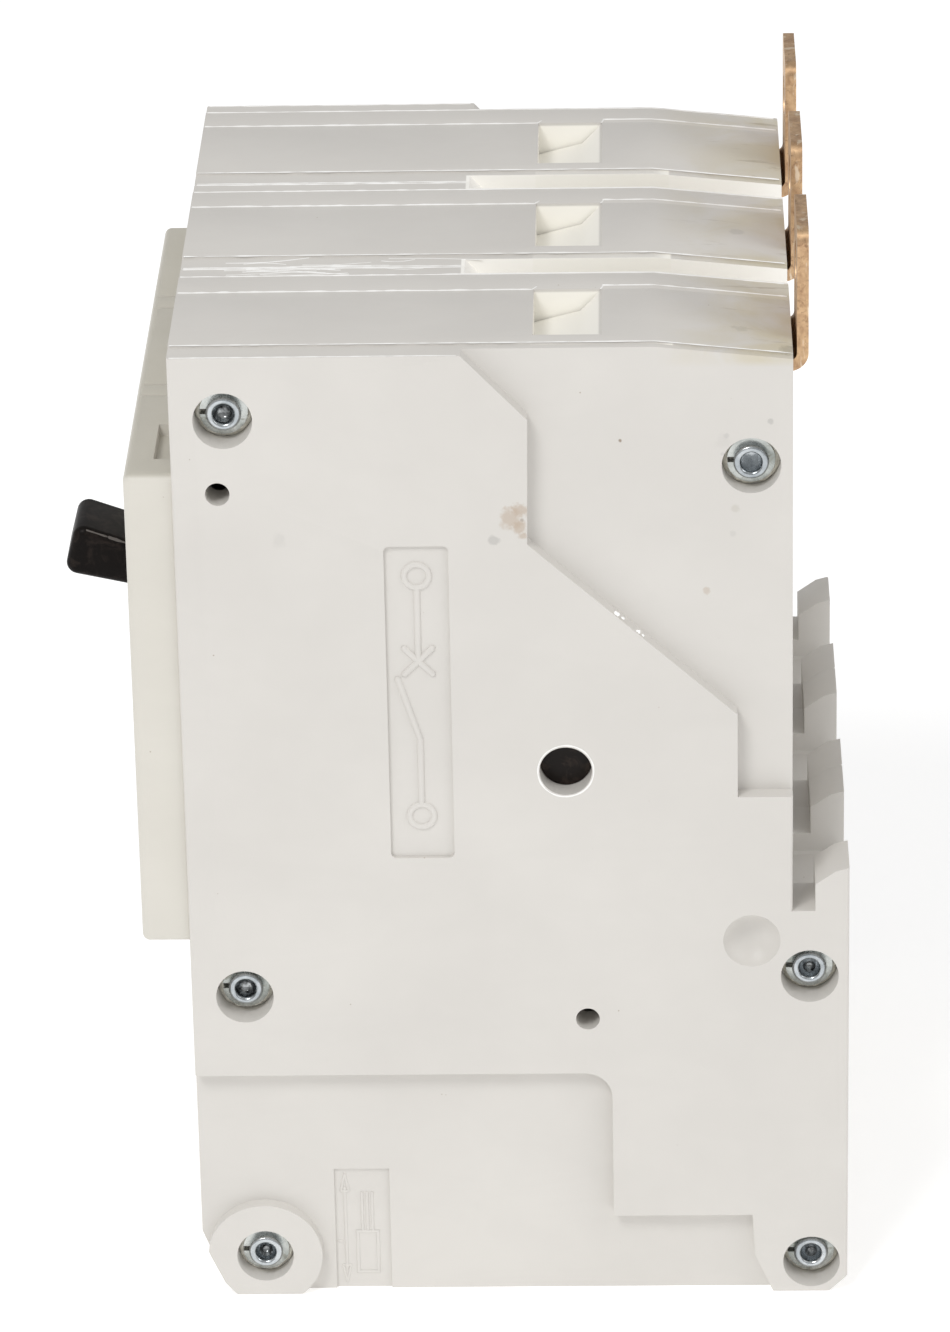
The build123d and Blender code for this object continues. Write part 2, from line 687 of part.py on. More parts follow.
# Six tie rivets through all the poles, their hollow right-hand ends rolled over lock washers
with BuildPart() as tie_rivets:
    for back, up, depth in RIVETS:
        washer_face = HALF_WIDTH - depth + WASHER_THICK
        rod((back, up), RIVET_R, -HALF_WIDTH + 1.0, washer_face)
        rod((back, up), 2.5, -HALF_WIDTH + 0.8, -HALF_WIDTH + 2.2)
        rod((back, up), RIM_R, washer_face, washer_face + RIM_RISE)
        rod((back, up), MOUTH_R, washer_face - 1.6, washer_face + 2, Mode.SUBTRACT)
    rims = tie_rivets.edges().filter_by(GeomType.CIRCLE)
    mouths = rims.filter_by(lambda edge: edge.center().X > HALF_WIDTH - 4 and edge.radius < RIM_R + 0.01)
    tops = [edge for edge in mouths if min(abs(edge.center().X - top) for top in RIM_TOPS) < 0.01]
    fillet(tops, 0.34)
save(tie_rivets, "tie_rivets")

with BuildPart() as lock_washers:
    for back, up, depth in RIVETS:
        washer_low = HALF_WIDTH - depth
        rod((back, up), 2.5, washer_low, washer_low + WASHER_THICK)
        rod((back, up), RIVET_R, washer_low - 1, washer_low + 2, Mode.SUBTRACT)
        brick((back - 3, back - 1), (up - 0.3, up + 0.3), washer_low - 1, washer_low + 2, Mode.SUBTRACT)
save(lock_washers, "lock_washers")
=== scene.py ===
"""Looks of the three-pole molded case breaker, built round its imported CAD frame.

Places on the case are given as (back, up): millimetres back from the case's front face, and
millimetres up from its top edge, so up is negative, as on the part's own side profiles.
"""

import math
import random

import bmesh
import bpy
from mathutils import Matrix, Vector, noise


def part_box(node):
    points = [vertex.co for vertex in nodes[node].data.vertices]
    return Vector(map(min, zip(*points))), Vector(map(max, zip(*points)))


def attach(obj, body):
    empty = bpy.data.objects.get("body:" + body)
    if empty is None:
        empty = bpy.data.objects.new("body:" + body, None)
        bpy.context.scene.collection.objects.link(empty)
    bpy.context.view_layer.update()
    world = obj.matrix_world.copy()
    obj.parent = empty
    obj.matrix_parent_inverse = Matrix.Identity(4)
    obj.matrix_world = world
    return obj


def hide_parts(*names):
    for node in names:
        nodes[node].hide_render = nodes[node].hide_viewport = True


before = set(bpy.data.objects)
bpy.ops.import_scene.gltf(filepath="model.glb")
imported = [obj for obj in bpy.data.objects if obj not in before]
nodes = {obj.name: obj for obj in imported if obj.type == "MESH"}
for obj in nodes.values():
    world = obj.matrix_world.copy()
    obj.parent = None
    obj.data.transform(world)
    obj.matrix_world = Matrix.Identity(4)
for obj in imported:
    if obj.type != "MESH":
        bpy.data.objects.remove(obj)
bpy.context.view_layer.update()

MM = 0.001
SIDES = ("right", "center", "left")
COVER_LOW, COVER_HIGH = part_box("right_cover")
CASE_FRONT = COVER_LOW.y
CASE_TOP = COVER_HIGH.z
CASE_RIGHT = COVER_HIGH.x
POLE_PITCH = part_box("right_cover")[1].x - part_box("center_cover")[1].x
FRONT_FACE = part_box("front_cover")[0].y
LABEL_FLOOR = CASE_RIGHT - 0.4 * MM
GAUGE_FLOOR = CASE_RIGHT - 1.8 * MM
UPPER_FLOOR = CASE_RIGHT - 2.0 * MM


def spot(back, up, x):
    """Row position of a point given in millimetres back and up, at x in metres."""
    return Vector((x, CASE_FRONT + back * MM, CASE_TOP + up * MM))


# ---------------------------------------------------------------- materials

class Shader:
    """A material under construction, with short calls for the nodes that the materials share."""

    def __init__(self, name):
        self.material = bpy.data.materials.new(name)
        self.material.use_nodes = True
        self.tree = self.material.node_tree
        self.surface = self.tree.nodes["Principled BSDF"]
        coordinates = self.tree.nodes.new("ShaderNodeTexCoord")
        self.place = coordinates.outputs["Object"]

    def link(self, source, target):
        self.tree.links.new(source, target)

    def set(self, **values):
        for key, value in values.items():
            self.surface.inputs[key.replace("_", " ")].default_value = value

    def noise(self, scale, detail=3.0, rough=0.5, distortion=0.0, place=None):
        node = self.tree.nodes.new("ShaderNodeTexNoise")
        node.inputs["Scale"].default_value = scale
        node.inputs["Detail"].default_value = detail
        node.inputs["Roughness"].default_value = rough
        node.inputs["Distortion"].default_value = distortion
        self.link(place or self.place, node.inputs["Vector"])
        return node.outputs["Fac"]

    def voronoi(self, scale, place=None):
        node = self.tree.nodes.new("ShaderNodeTexVoronoi")
        node.inputs["Scale"].default_value = scale
        self.link(place or self.place, node.inputs["Vector"])
        return node.outputs["Distance"]

    def stretched(self, x, y, z):
        node = self.tree.nodes.new("ShaderNodeMapping")
        node.inputs["Scale"].default_value = (x, y, z)
        self.link(self.place, node.inputs["Vector"])
        return node.outputs["Vector"]

    def remap(self, value, low, high, to_low=0.0, to_high=1.0):
        node = self.tree.nodes.new("ShaderNodeMapRange")
        node.inputs["From Min"].default_value = low
        node.inputs["From Max"].default_value = high
        node.inputs["To Min"].default_value = to_low
        node.inputs["To Max"].default_value = to_high
        self.link(value, node.inputs["Value"])
        return node.outputs["Result"]

    def axes(self, vector):
        node = self.tree.nodes.new("ShaderNodeSeparateXYZ")
        self.link(vector, node.inputs["Vector"])
        return node.outputs["X"], node.outputs["Y"], node.outputs["Z"]

    def math(self, operation, first, second=0.0):
        node = self.tree.nodes.new("ShaderNodeMath")
        node.operation = operation
        for index, value in enumerate((first, second)):
            if isinstance(value, (int, float)):
                node.inputs[index].default_value = value
            else:
                self.link(value, node.inputs[index])
        return node.outputs["Value"]

    def product(self, *shares):
        result = shares[0]
        for share in shares[1:]:
            result = self.math("MULTIPLY", result, share)
        return result

    def band(self, value, middle, half, soft):
        """1 where a value lies within half of the middle, then down to 0 over a soft edge."""
        distance = self.math("ABSOLUTE", self.math("SUBTRACT", value, middle))
        return self.remap(distance, half, half + soft, 1.0, 0.0)

    def mix(self, share, first, second):
        node = self.tree.nodes.new("ShaderNodeMix")
        node.data_type = "RGBA"
        self.link(share, node.inputs["Factor"])
        for socket, value in ((node.inputs[6], first), (node.inputs[7], second)):
            if isinstance(value, tuple):
                socket.default_value = (*value, 1.0)
            else:
                self.link(value, socket)
        return node.outputs[2]

    def blot(self, centre, radius, edge_scale, ragged):
        """Share of a ragged-edged patch round a row position: 1 in its middle, 0 outside it."""
        offset = self.tree.nodes.new("ShaderNodeVectorMath")
        offset.operation = "DISTANCE"
        offset.inputs[1].default_value = centre
        self.link(self.place, offset.inputs[0])
        wobble = self.remap(self.noise(edge_scale, 4.0, 0.6), 0.3, 0.7, -ragged, ragged)
        distance = self.math("ADD", offset.outputs["Value"], wobble)
        return self.remap(distance, radius * 0.55, radius * 1.1, 1.0, 0.0)

    def bump(self, height, strength, distance):
        node = self.tree.nodes.new("ShaderNodeBump")
        node.inputs["Strength"].default_value = strength
        node.inputs["Distance"].default_value = distance
        self.link(height, node.inputs["Height"])
        previous = self.surface.inputs["Normal"]
        if previous.is_linked:
            self.link(previous.links[0].from_socket, node.inputs["Normal"])
        self.link(node.outputs["Normal"], previous)

    def colour(self, socket):
        self.link(socket, self.surface.inputs["Base Color"])

    def roughness(self, socket):
        self.link(socket, self.surface.inputs["Roughness"])


# How far back the yellowing of the tops starts and is full
YELLOW_START, YELLOW_FULL = 50 * MM, 64 * MM
# Heights between which surfaces begin to count as tops, and as the upper part of a channel
TOPS_START, TOPS_FULL = -2.6 * MM, -1.9 * MM
UPPER_START, UPPER_FULL = -9 * MM, -7 * MM
YELLOWED = (0.58, 0.52, 0.37)
HANDLED = (0.30, 0.25, 0.18)
# Painted light: pale tones that stand in for light on the channel walls between the poles and in the vent
# scoops
CHANNEL_PAINTED_LIGHT = (0.96, 0.94, 0.89)
SCOOP_PAINTED_LIGHT = (0.94, 0.92, 0.86)
JOINTS = (0, 1)
# Middle of the channel between two poles, in from the right face of the pole on its right; half its
# width; and how far back it starts
CHANNEL_IN, CHANNEL_HALF, CHANNEL_START = 24.9 * MM, 2.54 * MM, 29.6 * MM
# Middle of the vent scoops sunk into the tops, half their size, and the strip at the case's right and
# left faces that they stay clear of
SCOOP_BACK, SCOOP_UP = 44.5 * MM, -4.6 * MM
SCOOP_HALF_LENGTH, SCOOP_HALF_HEIGHT = 7.2 * MM, 4.2 * MM
SCOOP_MARGIN = 3 * MM
# Width over which a patch of painted light fades out
SOFT = 0.2 * MM


def aged_with_painted_light(shader, tone):
    """The case's tone with yellowed line ends, and painted light that makes the channels between the poles
    and the vent scoops pale.
    """
    across, back, up = shader.axes(shader.place)
    back_end = shader.remap(back, CASE_FRONT + YELLOW_START, CASE_FRONT + YELLOW_FULL)
    top_side = shader.remap(up, CASE_TOP + TOPS_START, CASE_TOP + TOPS_FULL)
    patchy = shader.remap(shader.noise(110, 4.0, 0.6, 0.6), 0.38, 0.62)
    tone = shader.mix(shader.product(back_end, top_side, patchy, 0.8), tone, YELLOWED)
    streaks = shader.remap(shader.noise(420, 4.0, 0.6, 0.4, shader.stretched(1, 0.22, 1)), 0.60, 0.66)
    tone = shader.mix(shader.product(back_end, top_side, streaks, 0.5), tone, HANDLED)
    # Painted light: the walls of the channels between the poles are painted pale, standing in for light that
    # reaches into them
    upper = shader.remap(up, CASE_TOP + UPPER_START, CASE_TOP + UPPER_FULL)
    behind = shader.remap(back, CASE_FRONT + CHANNEL_START, CASE_FRONT + CHANNEL_START + SOFT / 2)
    for joint in JOINTS:
        middle = CASE_RIGHT - joint * POLE_PITCH - CHANNEL_IN
        channel_light = shader.band(across, middle, CHANNEL_HALF, SOFT / 10)
        tone = shader.mix(shader.product(channel_light, behind, upper), tone, CHANNEL_PAINTED_LIGHT)
    # The vent scoops, which lie below the tops, are painted pale as well: painted light that brightens them
    # where they lie in shade
    left_face = CASE_RIGHT - len(SIDES) * POLE_PITCH
    scoop_light = shader.product(
        shader.band(back, CASE_FRONT + SCOOP_BACK, SCOOP_HALF_LENGTH, SOFT),
        shader.band(up, CASE_TOP + SCOOP_UP, SCOOP_HALF_HEIGHT, SOFT),
        shader.remap(across, CASE_RIGHT - SCOOP_MARGIN, CASE_RIGHT - SCOOP_MARGIN + SOFT, 1.0, 0.0),
        shader.remap(across, left_face + SCOOP_MARGIN, left_face + SCOOP_MARGIN + 5 * SOFT),
    )
    return shader.mix(scoop_light, tone, SCOOP_PAINTED_LIGHT)


def moulded(name, light, dark, speck, roughness, marks=(), finish=None, gloss=0.42, painted_top_shade=None, worn=None):
    """Moulded thermoset: cloudy tone, faint flow lines, sparse specks, fine pebble and smudges.

    Marks are blemishes and patches of painted shade, and finish is a function that changes the tone, painted
    light included, before they are laid on.
    The tone given for faces that look up is a painted shade that darkens the tops, and worn is that of rubbed
    patches.
    """
    shader = Shader(name)
    cloud = shader.remap(shader.noise(45, 4.0, 0.55), 0.35, 0.65)
    tone = shader.mix(cloud, dark, light)
    flow = shader.noise(160, 3.0, 0.6, 1.2, shader.stretched(1, 0.35, 1))
    flow = shader.remap(flow, 0.42, 0.75, 0.0, 0.35)
    tone = shader.mix(flow, tone, tuple(0.93 * c for c in light))
    grains = shader.remap(shader.voronoi(520), 0.03, 0.055, 1.0, 0.0)
    chosen = shader.remap(shader.noise(300, 1.0), 0.62, 0.66)
    tone = shader.mix(shader.product(grains, chosen), tone, speck)
    if finish:
        tone = finish(shader, tone)
    for centre, radius, stain, strength in marks:
        share = shader.product(shader.blot(centre, radius, 900, radius * 0.45), strength)
        tone = shader.mix(share, tone, stain)
    # Painted shade: faces that look up are darkened, standing in for less light on the tops
    if painted_top_shade:
        geometry = shader.tree.nodes.new("ShaderNodeNewGeometry")
        upward = shader.remap(shader.axes(geometry.outputs["Normal"])[2], 0.5, 0.9)
        patchy = shader.remap(shader.noise(120, 4.0, 0.6), 0.3, 0.7, 0.75, 1.0)
        tone = shader.mix(shader.product(upward, patchy), tone, painted_top_shade)
    if worn:
        rubbed = shader.remap(shader.noise(420, 5.0, 0.7, 0.8), 0.50, 0.62)
        tone = shader.mix(rubbed, tone, worn)
    shader.colour(tone)
    gloss_noise = shader.noise(220, 4.0, 0.6)
    shader.roughness(shader.remap(gloss_noise, 0.3, 0.7, roughness - 0.06, roughness + 0.08))
    shader.bump(shader.noise(1900, 2.0, 0.5), strength=0.10, distance=0.08 * MM)
    shader.bump(shader.noise(190, 2.0, 0.5), strength=0.10, distance=0.3 * MM)
    shader.set(Specular_IOR_Level=gloss)
    return shader.material


def metal(
    name, bright, dull, roughness, grain=(1, 1, 1), grain_scale=900,
    stain=None, crease=None, patch=260, spots=520,
):
    """Worked metal: grain that follows one direction, dull patches and, if asked, tarnish and creases.

    Patch and spots are the noise scales of the dull patches and of the tarnish.
    """
    shader = Shader(name)
    patches = shader.remap(shader.noise(patch, 4.0, 0.6, 0.6), 0.35, 0.68)
    tone = shader.mix(patches, bright, dull)
    if stain:
        share = shader.remap(shader.noise(spots, 5.0, 0.65, 1.0), 0.56, 0.70, 0.0, 0.75)
        tone = shader.mix(share, tone, stain)
    if crease:
        rubs = shader.noise(700, 3.0, 0.6, 0.4, shader.stretched(1, 1, 0.3))
        tone = shader.mix(shader.remap(rubs, 0.60, 0.66, 0.0, 0.7), tone, crease)
    shader.colour(tone)
    lines = shader.noise(grain_scale, 3.0, 0.6, 0.0, shader.stretched(*grain))
    shader.roughness(shader.remap(lines, 0.3, 0.7, roughness - 0.08, roughness + 0.12))
    shader.bump(lines, strength=0.16, distance=0.06 * MM)
    shader.set(Metallic=1.0)
    return shader.material


TAN = (0.47, 0.375, 0.29)
UMBER = (0.22, 0.15, 0.09)
GREY = (0.40, 0.39, 0.37)
OLIVE = (0.36, 0.33, 0.25)


def mark(back, up, radius, stain, strength, x=CASE_RIGHT):
    """Mark on the right pole's side, for blemishes and for patches of painted shade: where it is, how far it
    spreads, and how strong it is.
    """
    return spot(back, up, x), radius * MM, stain, strength


# Back, up and depth below the right face of each tie rivet's recess
RIVETS = [
    (5.53, -7.19, 3.6), (59.81, -13.54, 4.6), (5.67, -73.67, 3.6),
    (65.92, -71.70, 3.6), (6.87, -105.39, 2.6), (66.20, -106.54, 3.6),
]
RIVET_GRIME_AND_SHADE = 3.2
MARKS = [
    mark(35.0, -18.3, 1.25, TAN, 0.62),
    mark(35.9, -17.5, 0.9, TAN, 0.62),
    mark(35.8, -19.4, 0.85, TAN, 0.62),
    mark(36.1, -20.3, 0.5, TAN, 0.6),
    mark(36.1, -18.5, 0.24, UMBER, 0.45),
    mark(33.2, -20.8, 0.55, GREY, 0.5),
    mark(57.0, -10.9, 0.9, GREY, 0.12, UPPER_FLOOR),
    mark(57.7, -11.8, 0.5, GREY, 0.3, UPPER_FLOOR),
    mark(57.3, -10.2, 0.35, GREY, 0.3, UPPER_FLOOR),
    mark(56.8, -12.2, 0.3, GREY, 0.3, UPPER_FLOOR),
    mark(58.1, -18.3, 0.45, OLIVE, 0.22, UPPER_FLOOR),
    mark(57.9, -21.2, 0.4, GREY, 0.2, UPPER_FLOOR),
    mark(46.3, -10.6, 0.22, UMBER, 0.75, UPPER_FLOOR),
    mark(61.8, -8.6, 0.3, GREY, 0.5, UPPER_FLOOR),
    mark(55.1, -27.5, 0.45, TAN, 0.45, UPPER_FLOOR),
    mark(11.0, -20.5, 0.8, GREY, 0.14),
    (spot(56.4, -0.9, CASE_RIGHT - 25.0 * MM), 1.1 * MM, UMBER, 0.3),
    (spot(58.7, -1.0, CASE_RIGHT - 8.5 * MM), 0.9 * MM, OLIVE, 0.3),
    (spot(58.9, -1.0, CASE_RIGHT - 36.5 * MM), 0.8 * MM, GREY, 0.3),
    (spot(63.6, -1.6, CASE_RIGHT - 4.0 * MM), 1.0 * MM, OLIVE, 0.6),
]
# Olive darkening round each rivet's recess floor, partly grime and partly painted shade in the recess
MARKS += [
    mark(back, up, RIVET_GRIME_AND_SHADE, OLIVE, 0.16, CASE_RIGHT - depth * MM)
    for back, up, depth in RIVETS
]

# The case's tone includes painted light on the channels and scoops, and painted shade round the rivet
# recesses
CASE = moulded(
    "case_moulding", (0.675, 0.652, 0.615), (0.64, 0.617, 0.582), (0.42, 0.36, 0.30), 0.46, MARKS,
    finish=aged_with_painted_light,
)
# Paler tone of the case's rounded edges, a painted highlight
CASE_EDGE_HIGHLIGHT = moulded("case_edge_highlight", (0.84, 0.83, 0.805), (0.77, 0.755, 0.72), (0.5, 0.45, 0.4), 0.34)
# Near-white tone of the flash along edges, a painted highlight, also used for whitened scratches
FLASH_AND_HIGHLIGHT = moulded("flash_and_highlight_white", (0.97, 0.97, 0.955), (0.88, 0.875, 0.85), (0.6, 0.55, 0.5), 0.3)
CRUSHED = moulded("crushed_plastic", (0.90, 0.88, 0.80), (0.68, 0.66, 0.57), (0.30, 0.27, 0.20), 0.32)
# The front's tops are darkened by a painted shade on faces that look up
FRONT = moulded(
    "front_moulding", (0.675, 0.65, 0.59), (0.64, 0.615, 0.555), (0.42, 0.36, 0.30), 0.42,
    painted_top_shade=(0.54, 0.515, 0.445),
)
# Paler tone of the front's rounded edges and of the I and O marks, a painted highlight
FRONT_EDGE_HIGHLIGHT = moulded("front_edge_highlight", (0.76, 0.745, 0.695), (0.72, 0.70, 0.65), (0.5, 0.45, 0.4), 0.38)
BLACK = moulded(
    "handle_moulding", (0.010, 0.008, 0.007), (0.005, 0.004, 0.004), (0.04, 0.035, 0.03), 0.36, gloss=0.07,
    worn=(0.020, 0.015, 0.013),
)
# Lighter tone of the handle's rounded edges, a painted highlight, with pale rubbed patches
BLACK_EDGE_HIGHLIGHT = moulded(
    "handle_edge_highlight", (0.020, 0.017, 0.015), (0.014, 0.012, 0.011), (0.06, 0.05, 0.045), 0.35, gloss=0.12,
    worn=(0.20, 0.185, 0.17),
)
PHENOLIC = moulded(
    "rotor_phenolic", (0.014, 0.009, 0.007), (0.008, 0.006, 0.005), (0.05, 0.03, 0.02), 0.36, gloss=0.16,
    worn=(0.030, 0.021, 0.016),
)
RED = moulded("button_red", (0.42, 0.03, 0.025), (0.36, 0.025, 0.02), (0.2, 0.02, 0.02), 0.34)
# Pale tone of the line along the handle's upper edge: rubbed wear with a painted highlight
HANDLE_RUB_AND_HIGHLIGHT = moulded(
    "handle_rub_and_highlight", (0.22, 0.20, 0.185), (0.03, 0.027, 0.025), (0.5, 0.45, 0.4), 0.4, gloss=0.2,
)
TAB = metal(
    "tab_plating", (0.68, 0.47, 0.28), (0.46, 0.29, 0.17), 0.42, (1, 1, 0.3), 2400, (0.22, 0.12, 0.07),
    crease=(0.86, 0.74, 0.58), patch=900, spots=1700,
)
COPPER = metal(
    "copper", (0.72, 0.38, 0.24), (0.58, 0.30, 0.19), 0.36, (1, 0.15, 1), 1200, (0.32, 0.17, 0.11),
)
SILVER = metal("silver_alloy", (0.80, 0.79, 0.77), (0.66, 0.65, 0.62), 0.34, (1, 1, 1), 1500)
ZINC = metal("zinc_plate", (0.62, 0.65, 0.67), (0.30, 0.33, 0.35), 0.20, (1, 1, 1), 1600)
WASHER = metal(
    "washer_zinc", (0.56, 0.58, 0.56), (0.27, 0.29, 0.27), 0.26, (1, 1, 1), 1300, (0.15, 0.14, 0.10),
)
STEEL = metal(
    "plain_steel", (0.50, 0.49, 0.48), (0.38, 0.37, 0.36), 0.34, (1, 0.12, 1), 1400, (0.22, 0.18, 0.15),
)
SPRING = metal("spring_steel", (0.40, 0.40, 0.41), (0.30, 0.30, 0.31), 0.28, (1, 1, 1), 2200)
# Near-black metal with shiny patches in the rivet mouths: painted shade for the dark inside of the hollow
# rivets
MOUTH_SHADE = metal("mouth_painted_shade", (0.5, 0.52, 0.53), (0.0, 0.0, 0.0), 0.16, (1, 1, 1), 2600, patch=1100)
ALUMINIUM = metal("lug_aluminium", (0.74, 0.74, 0.75), (0.62, 0.62, 0.64), 0.38, (1, 1, 0.1), 1300)


# ---------------------------------------------------------------- pieces

# Faces larger than this, and all that look squarely left or right, are planes and keep one normal
FLAT_AREA = 20 * MM * MM
# The round dimple in the right pole's side keeps its crisp rim
DIMPLE = spot(59.77, -67.43, CASE_RIGHT)
DIMPLE_REACH = 3.3 * MM
MERGE_REACH = 0.004 * MM
FLAT_ANGLE = math.radians(0.6)
BEVEL_ANGLE = math.radians(32)
SHARP_ANGLE = math.radians(38)
SQUARELY = 0.9999
BEVEL_SEGMENTS, BEVEL_PROFILE = 2, 0.6


def dressed(node, body, width, material, edge_highlight):
    """Copy of a CAD node with merged faces and rounded edges in their own material, which stands for it; a
    paler edge material paints highlights on the rounded edges.
    """
    mesh = nodes[node].data.copy()
    mesh.name = node + "_skin"
    if "custom_normal" in mesh.attributes:
        mesh.attributes.remove(mesh.attributes["custom_normal"])
    mesh.materials.clear()
    mesh.materials.append(material)
    mesh.materials.append(edge_highlight)
    work = bmesh.new()
    work.from_mesh(mesh)
    bmesh.ops.remove_doubles(work, verts=work.verts, dist=MERGE_REACH)
    bmesh.ops.dissolve_limit(work, angle_limit=FLAT_ANGLE, verts=work.verts, edges=work.edges)
    for face in work.faces:
        face.material_index = 0
    sharp = [
        edge
        for edge in work.edges
        if edge.is_manifold and edge.calc_face_angle(0.0) > BEVEL_ANGLE
        and edge.calc_length() > 2 * width and (edge.verts[0].co - DIMPLE).length > DIMPLE_REACH
    ]
    bmesh.ops.bevel(
        work, geom=sharp, offset=width, segments=BEVEL_SEGMENTS, profile=BEVEL_PROFILE, affect="EDGES",
        clamp_overlap=True, material=1, loop_slide=True,
    )
    for face in work.faces:
        plane = abs(face.normal.x) > SQUARELY or face.calc_area() > FLAT_AREA
        face.smooth = face.material_index == 1 or not plane
    bmesh.ops.triangulate(work, faces=[face for face in work.faces if len(face.verts) > 4])
    work.to_mesh(mesh)
    work.free()
    mesh.set_sharp_from_angle(angle=SHARP_ANGLE)
    piece = bpy.data.objects.new(node + "_skin", mesh)
    bpy.context.scene.collection.objects.link(piece)
    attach(piece, body)
    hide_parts(node)
    return piece


CASE_BEVEL = 0.22 * MM
for side in SIDES:
    dressed(f"{side}_cover", "housing", CASE_BEVEL, CASE, CASE_EDGE_HIGHLIGHT)
    dressed(f"{side}_base", "housing", CASE_BEVEL, CASE, CASE_EDGE_HIGHLIGHT)
    dressed(f"{side}_line_strap", "housing", 0.12 * MM, TAB, TAB)
dressed("front_cover", "housing", 0.16 * MM, FRONT, FRONT_EDGE_HIGHLIGHT)
dressed("handle", "toggle", 0.2 * MM, BLACK, BLACK_EDGE_HIGHLIGHT)

INSIDE = {
    "tie_rivets": ZINC, "lock_washers": WASHER,
    "contact_shaft": PHENOLIC, "contact_hubs": PHENOLIC, "trip_bar": PHENOLIC, "trip_button": RED,
    "fixed_contacts": SILVER, "moving_contacts": SILVER, "main_springs": SPRING, "button_spring": SPRING,
}
for stem in ("arc_chute", "bimetal", "magnet_yoke", "armature"):
    INSIDE.update({f"{side}_{stem}": STEEL for side in SIDES})
for stem in ("contact_arm", "load_strap", "braid"):
    INSIDE.update({f"{side}_{stem}": COPPER for side in SIDES})
INSIDE.update({f"{side}_load_lug": ALUMINIUM for side in SIDES})
INSIDE.update({f"{side}_wire_screw": ZINC for side in SIDES})
for name, node in nodes.items():
    if not node.hide_render:
        node.data.materials.clear()
        node.data.materials.append(INSIDE.get(name, STEEL))


# ---------------------------------------------------------------- moulded marks, flash, wear and painted light

# Share of the half width and of the height at each point across a bead
BEAD_SECTION = [(-1.0, -0.3), (-0.86, 0.45), (-0.5, 0.88), (0.0, 1.0), (0.5, 0.88), (0.86, 0.45), (1.0, -0.3)]
# How far past its end a bead tapers, in widths, and what is left of its half width and height there
TAPER_REACH, TAPER_HALF, TAPER_TALL = 0.35, 0.55, 0.6
# Widest a bead grows at a bend, against its width, and the least cosine its bend is reckoned with
MITRE_LIMIT, LEAST_COSINE = 1.6, 0.2
# Noise scales of a rough bead's swelling and wandering, and how far it wanders against its width
SWELL_SCALE, WANDER_SCALE, WANDER_SHARE = 0.9, 0.3, 0.35
WANDER_SEED = 7
LEAST_SWELL = 0.15


def resampled(path, step):
    """Points about a step apart along a path of two-number points."""
    points = [Vector(path[0])]
    for start, end in zip(path, path[1:]):
        start, end = Vector(start), Vector(end)
        count = max(1, round((end - start).length / step))
        points += [start.lerp(end, (index + 1) / count) for index in range(count)]
    return points


def bridge(work, row, following):
    """Quads between two rows of points."""
    for index in range(len(row) - 1):
        work.faces.new((row[index], row[index + 1], following[index + 1], following[index]))


def tapered(section, way, width):
    """Smaller copy of a bead's end section, a little further on its way."""
    point, across, half, tall, wander = section
    return point + way * width * TAPER_REACH, across, half * TAPER_HALF, tall * TAPER_TALL, wander


def bead_into(work, path, width, height, place, closed=False, rough=0.0, seed=0.0, step=0.6):
    """Add one rounded bead along a path drawn on a surface; place turns (a, b, height) into a row position.

    All lengths are in millimetres. A rough bead wanders, swells and thins like moulding flash.
    """
    points = resampled(path, step) if rough else [Vector(point) for point in path]
    count = len(points)
    rings = []
    for index, point in enumerate(points):
        before = points[index - 1] if index or closed else point
        after = points[(index + 1) % count] if index < count - 1 or closed else point
        ahead, behind = (after - point), (point - before)
        if ahead.length == 0:
            ahead = behind
        if behind.length == 0:
            behind = ahead
        along = (ahead.normalized() + behind.normalized()).normalized()
        across = Vector((-along.y, along.x))
        cosine = across.dot(Vector((-ahead.y, ahead.x)).normalized())
        mitre = min(MITRE_LIMIT, 1.0 / max(LEAST_COSINE, cosine))
        swell, wander = 1.0, 0.0
        if rough:
            swell = 1.0 + rough * noise.noise((point * SWELL_SCALE).to_3d() + Vector((0, 0, seed)))
            sway = noise.noise((point * WANDER_SCALE).to_3d() + Vector((0, 0, seed + WANDER_SEED)))
            wander = WANDER_SHARE * rough * width * sway
        rings.append((point, across, mitre * width / 2 * swell, height * max(LEAST_SWELL, swell), wander))
    if not closed:
        start_way = (points[0] - points[1]).normalized()
        end_way = (points[-1] - points[-2]).normalized()
        rings.insert(0, tapered(rings[0], start_way, width))
        rings.append(tapered(rings[-1], end_way, width))
    rows = []
    for point, across, half, tall, wander in rings:
        row = []
        for side, lift in BEAD_SECTION:
            flat = point + across * (side * half + wander)
            row.append(work.verts.new(place(flat.x, flat.y, lift * tall)))
        rows.append(row)
    pairs = list(zip(rows, rows[1:])) + ([(rows[-1], rows[0])] if closed else [])
    for row, following in pairs:
        bridge(work, row, following)
    if not closed:
        work.faces.new(rows[0][::-1])
        work.faces.new(rows[-1])


def finished(name, work, material, body="housing"):
    """Turn mesh work into a smooth piece that rides on a body."""
    bmesh.ops.recalc_face_normals(work, faces=work.faces)
    for face in work.faces:
        face.smooth = True
    mesh = bpy.data.meshes.new(name)
    work.to_mesh(mesh)
    work.free()
    mesh.materials.append(material)
    piece = bpy.data.objects.new(name, mesh)
    bpy.context.scene.collection.objects.link(piece)
    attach(piece, body)
    return piece


def on_side(floor):
    """Placer for a surface that faces right, at x = floor: it takes back, up and height."""
    return lambda back, up, tall: spot(back, up, floor + tall * MM)


# Where the tops begin to slope down to the back, and how far they fall over which run
TOP_BEND, TOP_FALL, TOP_RUN = 50, 1.5, 14.1


def on_top(offset=0.0):
    """Placer for the tops, moved up by an offset: it takes x from the right face, back and height."""

    def place(x, back, tall):
        slope = -TOP_FALL * max(0, back - TOP_BEND) / TOP_RUN
        return spot(back, slope + tall + offset, CASE_RIGHT + x * MM)

    return place


